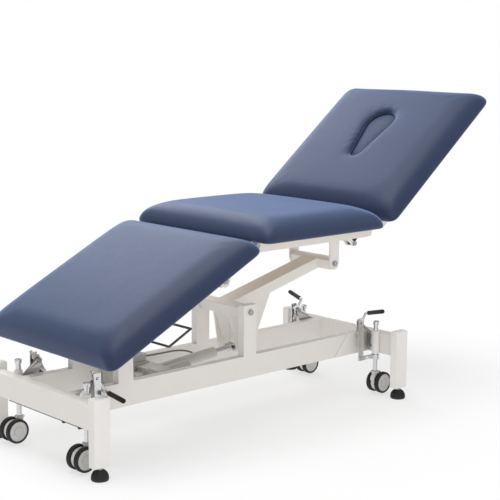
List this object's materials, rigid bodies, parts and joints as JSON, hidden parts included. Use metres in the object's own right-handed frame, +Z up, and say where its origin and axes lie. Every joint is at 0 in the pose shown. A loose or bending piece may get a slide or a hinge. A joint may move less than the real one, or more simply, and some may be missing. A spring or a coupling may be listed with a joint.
{
  "type": "examination couch",
  "caption": "Height-adjustable examination couch: folding padded sections on a parallelogram lift, welded base with levelling feet and lever-operated castors.",
  "frame": {"origin": "on the floor, under the middle of the couch's full length and width", "axes": "+X to the head end, +Y to the far side, +Z up"},
  "size_m": [1.8481, 0.72, 1.1543],
  "materials": {
    "frame_paint": "off-white powder coat, semi-gloss",
    "vinyl": "slate-blue upholstery vinyl, fine grain, soft sheen",
    "plywood": "plain plywood",
    "cap_plastic": "off-white moulded cap",
    "black_rubber": "matt black rubber",
    "tread": "black moulded tread",
    "hub_grey": "silver-grey moulding",
    "chrome": "bright chrome plate",
    "dark_steel": "dark zinc",
    "black_plastic": "satin black",
    "grey_plastic": "moulded grey housing",
    "button_plastic": "pale button"
  },
  "bodies": {
    "base": {"base_frame": "frame_paint", "tube_caps": "cap_plastic", "rubber_feet": "black_rubber", "foot_studs": "dark_steel", "base_pivot_bolts": "dark_steel", "small_bolts": "dark_steel", "castor_brackets": "chrome", "actuator_rear_pin": "dark_steel", "control_box": "grey_plastic", "hand_control": "grey_plastic", "cables": "black_plastic", "cable_clips": "black_plastic"},
    "head_arm": {"head_lift_arm": "frame_paint", "crank_pin": "dark_steel"},
    "foot_arm": {"foot_lift_arm": "frame_paint"},
    "seat": {"seat_frame": "frame_paint", "seat_board": "plywood", "seat_cushion": "vinyl", "seat_pivot_bolts": "dark_steel", "seat_spring_pins": "dark_steel"},
    "leg_section": {"leg_frame": "frame_paint", "leg_board": "plywood", "leg_cushion": "vinyl"},
    "head_section": {"head_frame": "frame_paint", "head_board": "plywood", "head_cushion": "vinyl"},
    "actuator": {"actuator_housing": "grey_plastic"},
    "actuator_ram": {"actuator_rod": "chrome"},
    "leg_spring_cylinder": {"leg_spring_cylinder": "black_plastic"},
    "leg_spring_rod": {"leg_spring_rod": "chrome"},
    "head_spring_cylinder": {"head_spring_cylinder": "black_plastic"},
    "head_spring_rod": {"head_spring_rod": "chrome"},
    "breathing_hole_plug": {"breathing_hole_plug": "vinyl"},
    "release_handle": {"leg_release_handle": "dark_steel"},
    "hand_button_up": {"hand_button_up": "button_plastic"},
    "hand_button_down": {"hand_button_down": "button_plastic"},
    "castor_near_foot_lever": {"castor_near_foot_lever": "chrome", "castor_near_foot_grip": "black_rubber"},
    "castor_near_foot_stem": {"castor_near_foot_stem": "chrome"},
    "castor_near_foot_body": {"castor_near_foot_body": "hub_grey"},
    "castor_near_foot_wheels": {"castor_near_foot_hubs": "hub_grey", "castor_near_foot_tyres": "tread"},
    "castor_far_foot_lever": {"castor_far_foot_lever": "chrome", "castor_far_foot_grip": "black_rubber"},
    "castor_far_foot_stem": {"castor_far_foot_stem": "chrome"},
    "castor_far_foot_body": {"castor_far_foot_body": "hub_grey"},
    "castor_far_foot_wheels": {"castor_far_foot_hubs": "hub_grey", "castor_far_foot_tyres": "tread"},
    "castor_near_head_lever": {"castor_near_head_lever": "chrome", "castor_near_head_grip": "black_rubber"},
    "castor_near_head_stem": {"castor_near_head_stem": "chrome"},
    "castor_near_head_body": {"castor_near_head_body": "hub_grey"},
    "castor_near_head_wheels": {"castor_near_head_hubs": "hub_grey", "castor_near_head_tyres": "tread"},
    "castor_far_head_lever": {"castor_far_head_lever": "chrome", "castor_far_head_grip": "black_rubber"},
    "castor_far_head_stem": {"castor_far_head_stem": "chrome"},
    "castor_far_head_body": {"castor_far_head_body": "hub_grey"},
    "castor_far_head_wheels": {"castor_far_head_hubs": "hub_grey", "castor_far_head_tyres": "tread"}
  },
  "joints": [
    {"name": "lift", "type": "hinge", "parent": "base", "child": "head_arm", "pos_m": [-0.1233, 0, 0.395], "axis": [0, -1, 0], "range_deg": [0, 30]},
    {"name": "foot_arm_turn", "type": "hinge", "parent": "base", "child": "foot_arm", "pos_m": [-0.6686, 0, 0.395], "axis": [0, -1, 0], "range_deg": [-1, 31]},
    {"name": "seat_level", "type": "hinge", "parent": "head_arm", "child": "seat", "pos_m": [0.3329, 0, 0.51213], "axis": [0, -1, 0], "range_deg": [-31, 1]},
    {"name": "actuator_tilt", "type": "hinge", "parent": "base", "child": "actuator", "pos_m": [-0.5211, 0, 0.205], "axis": [0, -1, 0], "range_deg": [-1, 4.56]},
    {"name": "actuator_extend", "type": "slide", "parent": "actuator", "child": "actuator_ram", "axis": [0.9968, 0, 0.0797], "range_m": [-0.002, 0.07983]},
    {"name": "leg_section_fold", "type": "hinge", "parent": "seat", "child": "leg_section", "pos_m": [-0.2181, 0, 0.658], "axis": [0, 1, 0], "range_deg": [0, 26.6]},
    {"name": "leg_spring_tilt", "type": "hinge", "parent": "seat", "child": "leg_spring_cylinder", "pos_m": [-0.2031, 0.16, 0.585], "axis": [0, -1, 0], "range_deg": [-27.45, 1]},
    {"name": "leg_spring_extend", "type": "slide", "parent": "leg_spring_cylinder", "child": "leg_spring_rod", "axis": [-0.9338, 0, -0.3578], "range_m": [-0.002, 0.03631]},
    {"name": "head_section_raise", "type": "hinge", "parent": "seat", "child": "head_section", "pos_m": [0.3639, 0, 0.69], "axis": [0, -1, 0], "range_deg": [-38.5, 8]},
    {"name": "head_spring_tilt", "type": "hinge", "parent": "seat", "child": "head_spring_cylinder", "pos_m": [0.3869, -0.142, 0.59], "axis": [0, -1, 0], "range_deg": [-35.24, 8.11]},
    {"name": "head_spring_extend", "type": "slide", "parent": "head_spring_cylinder", "child": "head_spring_rod", "axis": [0.7429, 0, 0.6694], "range_m": [-0.06748, 0.01561]},
    {"name": "plug_lift_out", "type": "slide", "parent": "head_section", "child": "breathing_hole_plug", "axis": [-0.6225, 0, 0.7826], "range_m": [0, 0.12]},
    {"name": "release_handle_pull", "type": "hinge", "parent": "leg_section", "child": "release_handle", "pos_m": [-0.57437, -0.2, 0.40242], "axis": [0.8942, 0, 0.4478], "range_deg": [-18, 0], "stiffness_Nm_per_rad": 0.3},
    {"name": "hand_button_up_press", "type": "slide", "parent": "base", "child": "hand_button_up", "axis": [0, 0, -1], "range_m": [0, 0.0015], "stiffness_N_per_m": 300},
    {"name": "hand_button_down_press", "type": "slide", "parent": "base", "child": "hand_button_down", "axis": [0, 0, -1], "range_m": [0, 0.0015], "stiffness_N_per_m": 300},
    {"name": "castor_near_foot_lever_throw", "type": "hinge", "parent": "base", "child": "castor_near_foot_lever", "pos_m": [-0.8011, -0.195, 0.277], "axis": [0, -1, 0], "range_deg": [0, 100]},
    {"name": "castor_near_foot_drop", "type": "slide", "parent": "base", "child": "castor_near_foot_stem", "axis": [0, 0, -1], "range_m": [-0.001, 0.01939]},
    {"name": "castor_near_foot_swivel", "type": "hinge", "parent": "castor_near_foot_stem", "child": "castor_near_foot_body", "pos_m": [-0.8611, -0.195, 0.06], "axis": [0, 0, 1], "continuous": true},
    {"name": "castor_near_foot_roll", "type": "hinge", "parent": "castor_near_foot_body", "child": "castor_near_foot_wheels", "pos_m": [-0.8831, -0.195, 0.045], "axis": [0, 1, 0], "continuous": true},
    {"name": "castor_far_foot_lever_throw", "type": "hinge", "parent": "base", "child": "castor_far_foot_lever", "pos_m": [-0.8011, 0.195, 0.277], "axis": [0, -1, 0], "range_deg": [0, 100]},
    {"name": "castor_far_foot_drop", "type": "slide", "parent": "base", "child": "castor_far_foot_stem", "axis": [0, 0, -1], "range_m": [-0.001, 0.01939]},
    {"name": "castor_far_foot_swivel", "type": "hinge", "parent": "castor_far_foot_stem", "child": "castor_far_foot_body", "pos_m": [-0.8611, 0.195, 0.06], "axis": [0, 0, 1], "continuous": true},
    {"name": "castor_far_foot_roll", "type": "hinge", "parent": "castor_far_foot_body", "child": "castor_far_foot_wheels", "pos_m": [-0.8831, 0.195, 0.045], "axis": [0, 1, 0], "continuous": true},
    {"name": "castor_near_head_lever_throw", "type": "hinge", "parent": "base", "child": "castor_near_head_lever", "pos_m": [0.4189, -0.195, 0.277], "axis": [0, -1, 0], "range_deg": [0, 100]},
    {"name": "castor_near_head_drop", "type": "slide", "parent": "base", "child": "castor_near_head_stem", "axis": [0, 0, -1], "range_m": [-0.001, 0.01939]},
    {"name": "castor_near_head_swivel", "type": "hinge", "parent": "castor_near_head_stem", "child": "castor_near_head_body", "pos_m": [0.4789, -0.195, 0.06], "axis": [0, 0, 1], "continuous": true},
    {"name": "castor_near_head_roll", "type": "hinge", "parent": "castor_near_head_body", "child": "castor_near_head_wheels", "pos_m": [0.5009, -0.195, 0.045], "axis": [0, 1, 0], "continuous": true},
    {"name": "castor_far_head_lever_throw", "type": "hinge", "parent": "base", "child": "castor_far_head_lever", "pos_m": [0.4189, 0.195, 0.277], "axis": [0, -1, 0], "range_deg": [0, 100]},
    {"name": "castor_far_head_drop", "type": "slide", "parent": "base", "child": "castor_far_head_stem", "axis": [0, 0, -1], "range_m": [-0.001, 0.01939]},
    {"name": "castor_far_head_swivel", "type": "hinge", "parent": "castor_far_head_stem", "child": "castor_far_head_body", "pos_m": [0.4789, 0.195, 0.06], "axis": [0, 0, 1], "continuous": true},
    {"name": "castor_far_head_roll", "type": "hinge", "parent": "castor_far_head_body", "child": "castor_far_head_wheels", "pos_m": [0.5009, 0.195, 0.045], "axis": [0, 1, 0], "continuous": true}
  ],
  "couplings": [
    {"joint": "foot_arm_turn", "follows": "lift", "ratio": 1},
    {"joint": "seat_level", "follows": "lift", "ratio": -1},
    {"joint": "actuator_tilt", "follows": "lift", "ratio": 0.11867},
    {"joint": "actuator_extend", "follows": "lift", "m_per_rad": 0.14865},
    {"joint": "leg_spring_tilt", "follows": "leg_section_fold", "ratio": -0.99451},
    {"joint": "leg_spring_extend", "follows": "leg_section_fold", "m_per_rad": 0.073909},
    {"joint": "head_spring_tilt", "follows": "head_section_raise", "ratio": 0.88925},
    {"joint": "head_spring_extend", "follows": "head_section_raise", "m_per_rad": 0.09745},
    {"joint": "castor_near_foot_drop", "follows": "castor_near_foot_lever_throw", "m_per_rad": 0.010534},
    {"joint": "castor_far_foot_drop", "follows": "castor_far_foot_lever_throw", "m_per_rad": 0.010534},
    {"joint": "castor_near_head_drop", "follows": "castor_near_head_lever_throw", "m_per_rad": 0.010534},
    {"joint": "castor_far_head_drop", "follows": "castor_far_head_lever_throw", "m_per_rad": 0.010534}
  ]
}
